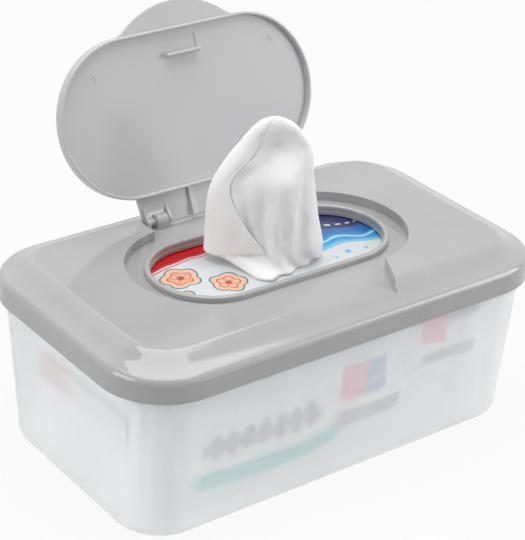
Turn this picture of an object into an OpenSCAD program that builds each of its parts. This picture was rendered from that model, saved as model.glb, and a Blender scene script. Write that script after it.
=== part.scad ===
// Wipes box with a lift-off lid and a flip cover over the dispensing opening.
// Millimetres, +Z up. The origin is the middle of the tub's foot, X runs along the long side,
// and the flip cover's hinge is at the back, towards +Y. The cover is drawn open.

/* [Lid] */
// Length of the lid over its skirt
lid_l = 200; // [185:1:225]
// Width of the lid over its skirt
lid_w = 120; // [112:1:135]
// Corner radius of the lid, seen from above
lid_corner_r = 27; // [24:0.5:34]
// How far the skirt hangs below the tub's rim
skirt_drop = 7.4; // [5.5:0.1:8]
// Wall thickness of the lid
lid_wall = 1.6; // [1.3:0.1:2]
// Height of the skirt's outer face
skirt_h = 9.4; // [8.5:0.1:10.5]
// How far the skirt leans in over its height
skirt_lean = 0.4; // [0.1:0.1:0.8]
// Width of the ledge, from the skirt's face to the crease
ledge_w = 8.8; // [7.5:0.1:10]
// Rise of the ledge from its outer edge to the crease
ledge_rise = 2.2; // [1.6:0.1:2.8]
// Width of the steep slope between the crease and the raised top
slope_w = 4.6; // [4:0.1:6]
// Rise of the steep slope
slope_rise = 3.8; // [3.2:0.1:4.6]
// Depth of the sunk floor below the raised top
recess_depth = 4; // [3.7:0.1:4.2]

/* [Dispensing opening] */
// Length of the sunk floor that the flip cover fills
recess_l = 123.8; // [118:0.5:132]
// Width of the sunk floor
recess_w = 66.4; // [62:0.2:70]
// Distance of the opening's middle behind the lid's middle
opening_y = 0.5; // [0:0.5:2]
// Length of the raised collar round the opening
collar_l = 107.7; // [98:0.5:112]
// Width of the raised collar
collar_w = 49.9; // [44:0.2:54]
// Wall thickness of the collar
collar_wall = 2.2; // [1.8:0.1:2.8]
// Gap between the collar's top and the closed cover
collar_gap = 0.3; // [0.3:0.05:0.6]
// Width of the thumb channel where it leaves the sunk floor
channel_back_w = 64; // [60:1:70]
// Width of the thumb channel at the front crease
channel_front_w = 43; // [40:1:56]
// Gap between the hinge arm's sides and the walls of the hinge pocket
pocket_gap = 0.3; // [0.2:0.05:1.5]

/* [Flip cover] */
// Angle of the open cover from its closed place
open_angle = 109.5; // [95:0.5:111]
// Thickness of the cover's panel
cover_t = 1.6; // [1.4:0.1:1.9]
// Gap between the cover's edge and the wall of the sunk floor
cover_gap = 0.8; // [0.5:0.1:1.2]
// How far the closed cover stands above the raised top
cover_proud = 0.4; // [0:0.1:0.6]
// Wall thickness of the stiffening rim under the cover
rim_t = 1.2; // [1:0.1:1.6]
// Gap between the rim's edge and the sunk floor when closed
rim_gap = 0.5; // [0.3:0.1:0.8]
// Radius of the thumb tab's front edge
tab_r = 39.3; // [34:0.1:44]
// Reach of the thumb tab beyond the panel's front edge
tab_reach = 10.2; // [7:0.1:12]
// Radius of the fillet where the tab joins the panel
tab_fillet = 8; // [4:0.5:12]
// Width of the latch hook
latch_w = 16; // [12:1:24]
// Thickness of the latch hook
latch_t = 1.3; // [1:0.1:1.6]
// Reach of the latch hook below the panel
latch_reach = 3.2; // [2.6:0.1:3.4]
// How far the hook's nose stands out towards the collar
latch_nose = 0.4; // [0.2:0.1:0.6]
// Gap between the hook's nose and the collar
latch_gap = 0.35; // [0.3:0.05:0.6]

/* [Hinge] */
// Distance of the hinge axis behind the panel's rear edge
hinge_back = 10.5; // [10:0.1:11]
// Depth of the hinge axis below the panel's underside
axis_drop = 0.3; // [0.2:0.05:0.4]
// Distance of each hinge lug's middle from the cover's middle
lug_x = 22.9; // [21:0.1:23.5]
// Width of each hinge lug
lug_w = 5.2; // [4:0.1:6]
// Outer radius of each lug's eye
lug_r = 2.9; // [2.6:0.1:3.2]
// Radius of the hinge pins
pin_r = 1.2; // [1:0.05:1.3]
// Gap all round the pin in the lug's eye
pin_gap = 0.05; // [0.03:0.01:0.08]
// Width of the slot that the pin is snapped in through
snap_slot = 1.9; // [1.6:0.1:2]
// Width of each notch in the hinge arm
notch_w = 9.1; // [8:0.1:9.6]
// How far each notch's middle lies outside its lug's middle
notch_shift = 1.05; // [0.9:0.05:1.2]
// Thickness of the cheeks beside each notch
cheek_t = 1.3; // [1:0.1:1.6]
// How far the hinge arm's free edge reaches outside the outer cheeks
arm_edge = 0.1; // [0:0.1:0.4]
// How much wider the hinge arm is on each side where it joins the panel
arm_flare = 2; // [0:0.1:2.5]
// Reach of the hinge arm past the hinge axis
arm_tail = 1.5; // [1:0.1:1.6]
// Radius of the cheeks that hold the pins
cheek_r = 2.1; // [1.9:0.1:2.2]

/* [Tub] */
// Height of the tub's rim above the table
tub_h = 70.4; // [69.5:0.1:70.8]
// Wall thickness of the tub
tub_wall = 1.6; // [1.2:0.1:2]
// How much narrower the foot is than the rim, on each side
tub_draft = 5; // [3:0.1:7]
// Thickness of the tub's floor
tub_floor = 1.8; // [1.2:0.1:2.4]
// Radius of the tub's bottom edge
foot_edge_r = 3.2; // [2:0.1:4]
// How far the rim's bead stands out from the wall
bead_out = 0.5; // [0.3:0.1:0.8]
// Height of the rim's bead
bead_h = 3.4; // [2.6:0.1:4]
// Thickness of the lid's sealing rib inside the tub's rim
rib_t = 1.2; // [0.9:0.1:1.5]
// Reach of the sealing rib below the tub's rim
rib_reach = 3.6; // [2:0.1:4.5]
// Gap between the sealing rib and the inside of the tub's wall
rib_gap = 0.6; // [0.3:0.1:1]
// Gap between the rim's bead and the skirt
lid_fit = 0.12; // [0.1:0.02:0.3]
// Gap between the tub's rim and the seat inside the lid
seat_gap = 0.1; // [0.05:0.05:0.3]

/* [Refill pack] */
// Gap between the pack's sides and the inside of the tub's wall at its foot
pack_clear = 4.9; // [4.5:0.1:12]
// Radius of the pack's upright corners
pack_corner_r = 14; // [12:0.5:16]
// Gap between the pack's top and the underside of the sunk floor
pack_gap = 0.4; // [0.3:0.1:2]
// Height of the swell of the pack's top inside the opening
pack_swell = 1.2; // [0.4:0.1:1.2]
// Length of the slot in the film
slot_l = 50; // [44:1:60]
// Width of the slot in the film
slot_w = 20; // [18:1:26]
// Number of folded wipes drawn in the stack
wipe_count = 16; // [8:1:24]
// Height of the crimped ends of the film
seal_h = 11; // [8:0.5:14]
// Thickness of the crimped ends
seal_t = 0.8; // [0.5:0.1:1]
// How far the crimped ends stay back from the pack's sides
seal_inset = 16; // [15:0.5:24]

/* [Drawn wipe] */
// Height of the drawn wipe's tip above the raised top of the lid
wipe_reach = 51.6; // [35:0.1:60]
// Width of the drawn wipe in the film's slot
wipe_neck_w = 34; // [28:0.5:36]
// Depth of the drawn wipe in the film's slot, front to back
wipe_neck_d = 12; // [8:0.5:13]
// Greatest width of the drawn wipe
wipe_full_w = 57; // [40:0.5:60]
// Greatest depth of the drawn wipe, front to back
wipe_full_d = 26; // [16:0.5:28]
// Thickness of the drawn wipe's folded layers
wipe_t = 1; // [0.8:0.1:1.2]
// How far the drawn wipe's tip leans to the right
wipe_lean = 3.5; // [0:0.1:5]

/* [Hidden] */
grey = [0.74, 0.75, 0.77];
frosted = [0.92, 0.94, 0.95, 0.6];
white = [0.95, 0.95, 0.95];
eps = 0.01;
round_fn = 96;

// Corner centres shared by every outline of the lid and the tub
centre_x = lid_l / 2 - lid_corner_r;
centre_y = lid_w / 2 - lid_corner_r;
// Heights of the lid
skirt_z = tub_h - skirt_drop;
crease_z = skirt_z + skirt_h + ledge_rise;
top_z = crease_z + slope_rise;
floor_z = top_z - recess_depth;
tray_z = floor_z - lid_wall;
// The hinge arm's notches, its half width at the free edge and the pocket it turns in
notch_x = lug_x + notch_shift;
arm_half_w = notch_x + notch_w / 2 + cheek_t + arm_edge;
pocket_w = 2 * (arm_half_w + arm_flare + pocket_gap);
// The hinge axis and the cover, in the closed cover's place
cover_l = recess_l - 2 * cover_gap;
cover_w = recess_w - 2 * cover_gap;
hinge_y = opening_y + cover_w / 2 + hinge_back;
panel_z = top_z + cover_proud - cover_t;
hinge_z = panel_z - axis_drop;
panel_mid_y = -hinge_back - cover_w / 2;
collar_top = panel_z - collar_gap;
collar_in_y = collar_w / 2 - collar_wall;
latch_front = hinge_y - (opening_y - collar_in_y) - latch_gap - latch_nose;
// The tub, as distances outside the corner centres
skirt_in_r = lid_corner_r - lid_wall - skirt_lean * (tub_h - skirt_z) / skirt_h;
bead_r = skirt_in_r - lid_fit;
tub_top_r = bead_r - bead_out;
tub_foot_r = tub_top_r - tub_draft;
pack_l = 2 * (centre_x + tub_foot_r - tub_wall - pack_clear);
pack_w = 2 * (centre_y + tub_foot_r - tub_wall - pack_clear);
pack_bottom = tub_floor;
pack_top = tray_z - pack_gap;
stack_l = pack_l - 10;
stack_w = pack_w - 8;
stack_top = pack_top - 5;
stack_bottom = pack_bottom + 3;

function unit(v) = v / norm(v);
function left_of(a, b) = unit([a.y - b.y, b.x - a.x]);
function mitre(a, b, c, d) = let (m = left_of(a, b) + left_of(b, c)) b + m * (2 * d / (m * m));

// An open path moved to its left by d, with mitred corners
function offset_path(p, d) = [for (i = [0:len(p) - 1])
    i == 0 ? p[0] + d * left_of(p[0], p[1])
    : i == len(p) - 1 ? p[i] + d * left_of(p[i - 1], p[i])
    : mitre(p[i - 1], p[i], p[i + 1], d)];

// The points of corner b, between a and c, rounded to radius r
function rounded_corner(a, b, c, r, steps = 5) = r <= 0 ? [b] :
    let (u = unit(a - b),
         v = unit(c - b),
         half = acos(max(-1, min(1, u * v))) / 2,
         centre = b + unit(u + v) * r / sin(half),
         p = b + u * r / tan(half) - centre,
         q = b + v * r / tan(half) - centre,
         start = atan2(p.y, p.x),
         turn = atan2(p.x * q.y - p.y * q.x, p * q))
    [for (i = [0:steps]) centre + r * [cos(start + turn * i / steps), sin(start + turn * i / steps)]];

// A closed outline with every corner rounded to its own radius
function rounded_path(p, radii) = let (n = len(p)) [for (i = [0:n - 1])
    each rounded_corner(p[(i + n - 1) % n], p[i], p[(i + 1) % n], radii[i])];

// A rounded rectangle whose corner centres are the lid's
module outline(r) {
    square([2 * (centre_x + r), 2 * centre_y], center = true);
    square([2 * centre_x, 2 * (centre_y + r)], center = true);
    for (x = [-1, 1], y = [-1, 1])
        translate([x * centre_x, y * centre_y])
            circle(r, $fn = round_fn);
}

// A section, drawn as [distance outside the corner centres, height], carried round a rounded rectangle
module carry_round(x, y) {
    for (turn = [0, 1]) rotate(180 * turn) {
        translate([x, y, 0])
            rotate_extrude(angle = 90, $fn = round_fn) children();
        translate([-x, y, 0])
            rotate(90) rotate_extrude(angle = 90, $fn = round_fn) children();
        translate([-x, y, 0])
            rotate([90, 0, 90]) linear_extrude(2 * x) children();
        translate([x, y, 0])
            rotate([90, 0, 0]) linear_extrude(2 * y) children();
    }
}

// A section carried round a slot shape: two half circles and two straight sides
module carry_slot(length, width) {
    run = length - width;
    for (turn = [0, 1]) rotate(180 * turn) {
        translate([run / 2, 0, 0])
            rotate(-90) rotate_extrude(angle = 180, $fn = round_fn) children();
        translate([-run / 2, 0, 0])
            rotate([90, 0, 90]) linear_extrude(run) children();
    }
}

module slot_shape(length, width) {
    square([length - width, width], center = true);
    for (x = [-1, 1])
        translate([x * (length - width) / 2, 0])
            circle(width / 2, $fn = round_fn);
}

// ---- Tub ----

function tub_r(z) = tub_foot_r + tub_draft * z / tub_h;

module tub_shell() {
    inner_foot = tub_r(pack_bottom) - tub_wall;
    bead_low = tub_h - bead_h;
    section = rounded_path(
        [[tub_foot_r - 9, 0], [tub_foot_r, 0], [tub_r(bead_low), bead_low], [bead_r, bead_low + bead_out],
         [bead_r, tub_h - 0.6], [bead_r - 0.6, tub_h], [tub_top_r - tub_wall, tub_h],
         [inner_foot, pack_bottom], [tub_foot_r - 9, pack_bottom]],
        [0, foot_edge_r, 0, 0, 0.4, 0, 0.4, 2, 0]);
    color(frosted) {
        carry_round(centre_x, centre_y) polygon(section);
        linear_extrude(tub_floor) outline(tub_foot_r - 9 + eps);
    }
}

// ---- Refill pack ----

module pack_plan(r) {
    x = pack_l / 2 - pack_corner_r;
    y = pack_w / 2 - pack_corner_r;
    square([2 * (x + r), 2 * y], center = true);
    square([2 * x, 2 * (y + r)], center = true);
    for (i = [-1, 1], j = [-1, 1])
        translate([i * x, j * y])
            circle(r, $fn = 48);
}

module refill_film() {
    section = rounded_path(
        [[4, pack_bottom], [pack_corner_r, pack_bottom], [pack_corner_r, pack_top], [4, pack_top]],
        [0, 5.5, 7.5, 0]);
    swell_l = collar_l - 2 * collar_wall - 4;
    swell_w = collar_w - 2 * collar_wall - 4;
    swell = [[0, pack_top - 1], [swell_w / 2, pack_top - 1], [swell_w / 2, pack_top],
             for (i = [1:8]) [swell_w / 2 - 11 * i / 8, pack_top + pack_swell * sin(90 * i / 8)],
             [0, pack_top + pack_swell]];
    color(white)
        difference() {
            union() {
                carry_round(pack_l / 2 - pack_corner_r, pack_w / 2 - pack_corner_r) polygon(section);
                translate([0, 0, pack_bottom])
                    linear_extrude(pack_top - pack_bottom) pack_plan(4 + eps);
                translate([0, opening_y, 0])
                    carry_slot(swell_l, swell_w) polygon(swell);
            }
            translate([-stack_l / 2, -stack_w / 2, stack_bottom])
                cube([stack_l, stack_w, stack_top - stack_bottom]);
            translate([0, opening_y, stack_top - 1])
                linear_extrude(pack_top) slot_shape(slot_l, slot_w);
        }
}

// The crimped ends of the film, folded up flat against the pack
module film_end_seals() {
    rib = seal_h / 12;
    run = pack_w - 2 * seal_inset;
    color(white)
        for (side = [0, 1]) rotate(180 * side)
            translate([pack_l / 2, -run / 2, (pack_bottom + pack_top - seal_h) / 2]) {
                cube([seal_t, run, seal_h]);
                for (i = [0:11])
                    translate([seal_t, 0, (i + 0.5) * rib])
                        rotate([-90, 0, 0]) cylinder(r = rib * 0.35, h = run, $fn = 16);
            }
}

// The folded wipes, each with a rounded fold along both long sides
module wipe_stack() {
    pitch = (stack_top - stack_bottom) / wipe_count;
    leaf = pitch - 0.15;
    color(white)
        for (i = [0:wipe_count - 1])
            translate([-stack_l / 2, 0, stack_bottom + i * pitch]) {
                translate([0, -(stack_w - leaf) / 2, 0])
                    cube([stack_l, stack_w - leaf, leaf]);
                for (y = [-1, 1])
                    translate([0, y * (stack_w - leaf) / 2, leaf / 2])
                        rotate([0, 90, 0]) cylinder(r = leaf / 2, h = stack_l, $fn = 24);
            }
}

// The wipe drawn up through the opening: one sheet wrapped round on itself, with soft upright folds.
// t runs from the slot to the tip and s along the sheet's width.
wipe_foot_z = stack_top + 0.3;
wipe_tip_z = top_z + wipe_reach;
wipe_rows = 15;
wipe_cols = 38;
function wipe_z(t) = wipe_foot_z + (wipe_tip_z - wipe_foot_z) * t;
// Share of the full width at t: it opens above the slot and closes in again towards the tip
function wipe_flare(t) = 1 - pow(1 - min(1, max(0, t - 0.13) / 0.2), 2);
function wipe_close(t) = sqrt(max(0, 1 - pow(max(0, t - 0.3) / 0.715, 2.2)));
function wipe_thin(t) = 1 - 0.86 * pow(max(0, t - 0.3) / 0.7, 1.3);
function wipe_half(t) = [
    (wipe_neck_w + (wipe_full_w - wipe_neck_w) * wipe_flare(t)) * wipe_close(t) / 2,
    (wipe_neck_d + (wipe_full_d - wipe_neck_d) * wipe_flare(t)) * wipe_thin(t) / 2];
function wipe_mid(t) = [wipe_lean * (0.3 + t * t), opening_y + wipe_neck_d * (0.125 - 0.165 * t)];
// The sheet overlaps itself at the front below and parts there above
function wipe_at(t, s, inset) =
    let (angle = -118 + (402 - 62 * t) * s,
         fold = 1 + 0.09 * sin(5 * angle + 40 + 60 * t) * wipe_thin(t) + 0.14 * (s - 0.5),
         h = wipe_half(t) * fold,
         p = [(h.x - inset) * cos(angle), (h.y - inset) * sin(angle)])
    [wipe_mid(t).x + p.x, wipe_mid(t).y + p.y, wipe_z(t)];

module leading_wipe() {
    cols = wipe_cols + 1;
    side = (wipe_rows + 1) * cols;
    points = [for (inset = [0, wipe_t], i = [0:wipe_rows], j = [0:wipe_cols])
        wipe_at(i / wipe_rows, j / wipe_cols, inset)];
    function quad(a, b, c, d) = [[a, b, c], [a, c, d]];
    faces = [
        for (i = [0:wipe_rows - 1], j = [0:wipe_cols - 1]) let (k = i * cols + j)
            each quad(k, k + cols, k + cols + 1, k + 1),
        for (i = [0:wipe_rows - 1], j = [0:wipe_cols - 1]) let (k = side + i * cols + j)
            each quad(k, k + 1, k + cols + 1, k + cols),
        for (j = [0:wipe_cols - 1])
            each quad(j, j + 1, side + j + 1, side + j),
        for (j = [0:wipe_cols - 1]) let (k = wipe_rows * cols + j)
            each quad(k, side + k, side + k + 1, k + 1),
        for (i = [0:wipe_rows - 1]) let (k = i * cols)
            each quad(k, side + k, side + k + cols, k + cols),
        for (i = [0:wipe_rows - 1]) let (k = i * cols + wipe_cols)
            each quad(k, k + cols, side + k + cols, side + k)];
    color(white) polyhedron(points, faces, convexity = 10);
}

// ---- Lid ----

// The lid's outer face from the skirt's lower edge to the raised top
lid_edge = [[lid_corner_r, skirt_z],
            [lid_corner_r - skirt_lean, skirt_z + skirt_h],
            [lid_corner_r - ledge_w, crease_z],
            [lid_corner_r - ledge_w - slope_w, top_z],
            [0, top_z]];

module lid_block(edge, radii) {
    carry_round(centre_x, centre_y)
        polygon(rounded_path(concat([[0, edge[0].y]], edge), concat([0], radii)));
    translate([-centre_x, -centre_y, edge[0].y])
        cube([2 * centre_x, 2 * centre_y, edge[4].y - edge[0].y]);
}

// The plan of everything sunk below the raised top, grown by g
module sunk_plan(g) {
    translate([0, opening_y])
        slot_shape(recess_l + 2 * g, recess_w + 2 * g);
    front = -lid_w / 2 + ledge_w - 2;
    mouth = opening_y - recess_w / 2;
    polygon([[-channel_back_w / 2 - g, mouth + 12], [-channel_back_w / 2 - g, mouth],
             [-channel_front_w / 2 - g, front - g], [channel_front_w / 2 + g, front - g],
             [channel_back_w / 2 + g, mouth], [channel_back_w / 2 + g, mouth + 12]]);
    translate([-pocket_w / 2 - g, opening_y])
        square([pocket_w + 2 * g, lid_w / 2 - ledge_w + 2 - opening_y + g]);
}

module lid_frame() {
    rib_in = tub_top_r - tub_wall - rib_gap - rib_t;
    inner = offset_path(lid_edge, lid_wall);
    color(grey)
        difference() {
            lid_block(lid_edge, [0.6, 3.2, 1.5, 3.5, 0]);
            difference() {
                lid_block([[inner[0].x, skirt_z - 1], inner[1], inner[2], inner[3], [0, inner[4].y]],
                          [0, 1.4, 3.3, 1.7, 0]);
                translate([0, 0, tray_z])
                    linear_extrude(top_z) sunk_plan(lid_wall);
                // Sealing rib inside the tub's rim, and the seat above the rim
                carry_round(centre_x, centre_y) {
                    translate([rib_in, tub_h - rib_reach]) square([rib_t, top_z - tub_h + rib_reach]);
                    translate([rib_in, tub_h + seat_gap]) square([lid_corner_r, top_z - tub_h]);
                }
            }
            translate([0, 0, floor_z])
                linear_extrude(top_z) sunk_plan(0);
            translate([0, opening_y, tray_z - 1])
                linear_extrude(top_z) slot_shape(collar_l - 2 * collar_wall, collar_w - 2 * collar_wall);
        }
}

module opening_collar() {
    r = collar_w / 2;
    section = rounded_path([[r - collar_wall, floor_z], [r + 0.3, floor_z], [r, collar_top],
                            [r - collar_wall, collar_top]], [0, 0, 0.9, 0.9]);
    color(grey)
        translate([0, opening_y, 0])
            carry_slot(collar_l, collar_w) polygon(section);
}

module hinge_lugs() {
    color(grey)
        for (side = [-1, 1])
            translate([side * lug_x - lug_w / 2, hinge_y, hinge_z])
                difference() {
                    union() {
                        rotate([0, 90, 0]) cylinder(r = lug_r, h = lug_w, $fn = round_fn);
                        translate([0, -lug_r, floor_z - hinge_z])
                            cube([lug_w, 2 * lug_r, hinge_z - floor_z]);
                    }
                    translate([-1, 0, 0])
                        rotate([0, 90, 0]) cylinder(r = pin_r + pin_gap, h = lug_w + 2, $fn = round_fn);
                    translate([-1, 0, -snap_slot / 2])
                        cube([lug_w + 2, lug_r + 1, snap_slot]);
                    translate([-1, -lug_r - 1, floor_z - hinge_z - 20])
                        cube([lug_w + 2, 2 * lug_r + 2, 20]);
                }
}

// ---- Flip cover, drawn closed about its hinge axis and then swung open ----

module opened() {
    translate([0, hinge_y, hinge_z])
        rotate([-open_angle, 0, 0]) children();
}

function arc(centre, r, start, end, steps) = [for (i = [0:steps])
    centre + r * [cos(start + (end - start) * i / steps), sin(start + (end - start) * i / steps)]];

// The panel's slot shape, with the thumb tab's arc blended into its front edge
module cover_plan() {
    front = panel_mid_y - cover_w / 2;
    tab_mid = [0, front - tab_reach + tab_r];
    fillet = [sqrt(pow(tab_r + tab_fillet, 2) - pow(tab_mid.y - front + tab_fillet, 2)), front - tab_fillet];
    blend = atan2(fillet.y - tab_mid.y, fillet.x);
    translate([0, panel_mid_y])
        slot_shape(cover_l, cover_w);
    polygon(concat([[-fillet.x, front + 3]],
                   arc([-fillet.x, fillet.y], tab_fillet, 90, -blend, 5),
                   arc(tab_mid, tab_r, -180 - blend, blend, 28),
                   arc(fillet, tab_fillet, blend + 180, 90, 5),
                   [[fillet.x, front + 3]]));
}

module cover_panel() {
    color(grey) opened()
        difference() {
            translate([0, 0, axis_drop])
                linear_extrude(cover_t) cover_plan();
            // Shallow rectangle in front of the latch, and two round ejector marks
            translate([-latch_w / 2, -latch_front - 6, axis_drop - 1])
                cube([latch_w, 5.8, 1.35]);
            for (side = [-1, 1])
                translate([side * 0.353 * cover_l, panel_mid_y - 0.282 * cover_w, axis_drop - 1])
                    cylinder(r = 1.8, h = 1.2, $fn = 32);
        }
}

// Stiffening rim under the panel's edge
module cover_rim() {
    rim_low = floor_z + rim_gap - hinge_z;
    color(grey) opened()
        translate([0, panel_mid_y, 0])
            carry_slot(cover_l, cover_w)
                polygon([[cover_w / 2 - rim_t, rim_low + 0.3], [cover_w / 2 - rim_t + 0.3, rim_low],
                         [cover_w / 2 - 0.3, rim_low], [cover_w / 2, rim_low + 0.3],
                         [cover_w / 2, axis_drop], [cover_w / 2 - rim_t, axis_drop]]);
}

// Hook that snaps in behind the collar's front wall
module cover_latch() {
    low = axis_drop - latch_reach;
    back = latch_front - latch_t;
    color(grey) opened()
        rotate([90, 0, -90])
            translate([0, 0, -latch_w / 2])
                linear_extrude(latch_w)
                    polygon([[back, axis_drop], [back, low + 0.5], [back + 0.5, low],
                             [latch_front - 0.1, low], [latch_front + latch_nose, low + 0.6],
                             [latch_front + latch_nose, low + 0.9], [latch_front, low + 1.4],
                             [latch_front, axis_drop]]);
}

// Forked arm between the panel and the hinge pins, with cheeks round each pin and two gussets
module hinge_arm() {
    root = hinge_back + 2;
    gusset_low = floor_z + rim_gap - hinge_z;
    color(grey) opened()
        difference() {
            union() {
                difference() {
                    translate([0, 0, axis_drop])
                        linear_extrude(cover_t)
                            polygon([[-arm_half_w - arm_flare, -root], [arm_half_w + arm_flare, -root],
                                     [arm_half_w, arm_tail], [-arm_half_w, arm_tail]]);
                    for (side = [-1, 1])
                        translate([side * notch_x - notch_w / 2, -4, -1])
                            cube([notch_w, 10, 10]);
                }
                for (side = [-1, 1], edge = [-1, 1])
                    translate([side * notch_x + edge * (notch_w + cheek_t) / 2 - cheek_t / 2, 0, 0]) {
                        rotate([0, 90, 0]) cylinder(r = cheek_r, h = cheek_t, $fn = round_fn);
                        rotate([90, 0, 90])
                            linear_extrude(cheek_t)
                                polygon([[-6.5, axis_drop], [-1.5, -1.4], [1.5, -1.4], [1.5, axis_drop]]);
                    }
                for (side = [-1, 1])
                    translate([side * 6.5 - 1.2, 0, 0])
                        rotate([90, 0, 90])
                            linear_extrude(2.4)
                                polygon([[-root, axis_drop], [-hinge_back, axis_drop - 0.8],
                                         [arm_tail - 0.4, gusset_low], [arm_tail - 0.4, axis_drop]]);
            }
            // The arm stops at the panel's rear edge
            translate([0, panel_mid_y, -cover_w / 2])
                linear_extrude(cover_w) slot_shape(cover_l, cover_w);
            // Seats of the pins
            for (side = [-1, 1])
                translate([side * notch_x - notch_w / 2 - cheek_t, 0, 0])
                    rotate([0, 90, 0]) cylinder(r = pin_r, h = notch_w + 2 * cheek_t, $fn = round_fn);
        }
}

module hinge_pins() {
    color(grey) opened()
        for (side = [-1, 1])
            translate([side * notch_x - notch_w / 2 - cheek_t, 0, 0])
                rotate([0, 90, 0]) cylinder(r = pin_r, h = notch_w + 2 * cheek_t, $fn = round_fn);
}

tub_shell();
refill_film();
film_end_seals();
wipe_stack();
leading_wipe();
lid_frame();
opening_collar();
hinge_lugs();
cover_panel();
cover_rim();
cover_latch();
hinge_arm();
hinge_pins();
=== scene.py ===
"""Wipes box with a flip cover: finishes, soft pieces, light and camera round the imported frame.
Metres, +Z up. The soft pieces are worked out in millimetres and scaled by MM."""
import bpy, bmesh, math
import numpy as np
from math import radians, pi
from mathutils import Matrix, Vector


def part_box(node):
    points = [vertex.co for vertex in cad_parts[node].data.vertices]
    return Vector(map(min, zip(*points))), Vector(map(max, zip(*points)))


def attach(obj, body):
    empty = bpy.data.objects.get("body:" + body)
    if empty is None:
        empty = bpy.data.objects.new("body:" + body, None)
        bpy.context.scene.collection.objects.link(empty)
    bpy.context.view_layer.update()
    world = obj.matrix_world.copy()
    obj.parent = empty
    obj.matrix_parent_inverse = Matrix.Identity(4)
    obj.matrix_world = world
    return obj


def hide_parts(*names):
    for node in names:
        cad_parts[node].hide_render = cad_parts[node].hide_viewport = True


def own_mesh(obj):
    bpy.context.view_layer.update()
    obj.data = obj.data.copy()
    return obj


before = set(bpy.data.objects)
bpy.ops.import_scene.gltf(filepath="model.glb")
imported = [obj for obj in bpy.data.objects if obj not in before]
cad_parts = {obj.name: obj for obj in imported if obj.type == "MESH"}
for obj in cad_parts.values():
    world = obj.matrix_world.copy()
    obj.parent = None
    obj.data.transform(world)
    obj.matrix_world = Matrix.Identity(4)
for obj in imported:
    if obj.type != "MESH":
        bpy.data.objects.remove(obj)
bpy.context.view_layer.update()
MM = 0.001
scene = bpy.context.scene


# ------------------------------------------------------------------ camera

AZIMUTH, ELEVATION, ROLL = radians(-37.590), radians(28.078), radians(2.711)
EYE = Vector((-0.40467, -0.51110, 0.41380))


def place_camera():
    back = Vector((math.sin(AZIMUTH) * math.cos(ELEVATION), -math.cos(AZIMUTH) * math.cos(ELEVATION),
                   math.sin(ELEVATION)))
    across = Vector((0, 0, 1)).cross(back).normalized()
    up = back.cross(across)
    right = math.cos(ROLL) * across + math.sin(ROLL) * up
    top = -math.sin(ROLL) * across + math.cos(ROLL) * up
    data = bpy.data.cameras.new("camera")
    data.sensor_fit, data.sensor_width, data.lens = "HORIZONTAL", 36, 127.51
    data.shift_x, data.shift_y = 0.0308, 0.003
    data.clip_start, data.clip_end = 0.05, 30
    camera = bpy.data.objects.new("camera", data)
    camera.matrix_world = Matrix((right, top, back)).transposed().to_4x4()
    camera.location = EYE
    scene.collection.objects.link(camera)
    scene.camera = camera


# ------------------------------------------------------------------ shader maths

class Wire:
    """A shader socket that can be added, multiplied and raised in plain expressions."""

    def __init__(self, finish, socket):
        self.finish, self.socket = finish, socket

    def maths(self, operation, *values):
        return self.finish.add("Math", {"operation": operation}, *values)

    def __add__(self, other):
        return self.maths("ADD", self, other)

    def __sub__(self, other):
        return self.maths("SUBTRACT", self, other)

    def __rsub__(self, other):
        return self.maths("SUBTRACT", other, self)

    def __mul__(self, other):
        return self.maths("MULTIPLY", self, other)

    def __truediv__(self, other):
        return self.maths("DIVIDE", self, other)

    def __pow__(self, other):
        return self.maths("POWER", self, other)

    def __abs__(self):
        return self.maths("ABSOLUTE", self)

    __radd__, __rmul__ = __add__, __mul__

    def sin(self):
        return self.maths("SINE", self)

    def clip(self):
        return self.finish.add("Clamp", {}, self)

    def most(self, other):
        return self.maths("MAXIMUM", self, other)

    def step(self, soft):
        """0 below zero and 1 above, over a width of soft."""
        return (self / soft + 0.5).clip()


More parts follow.
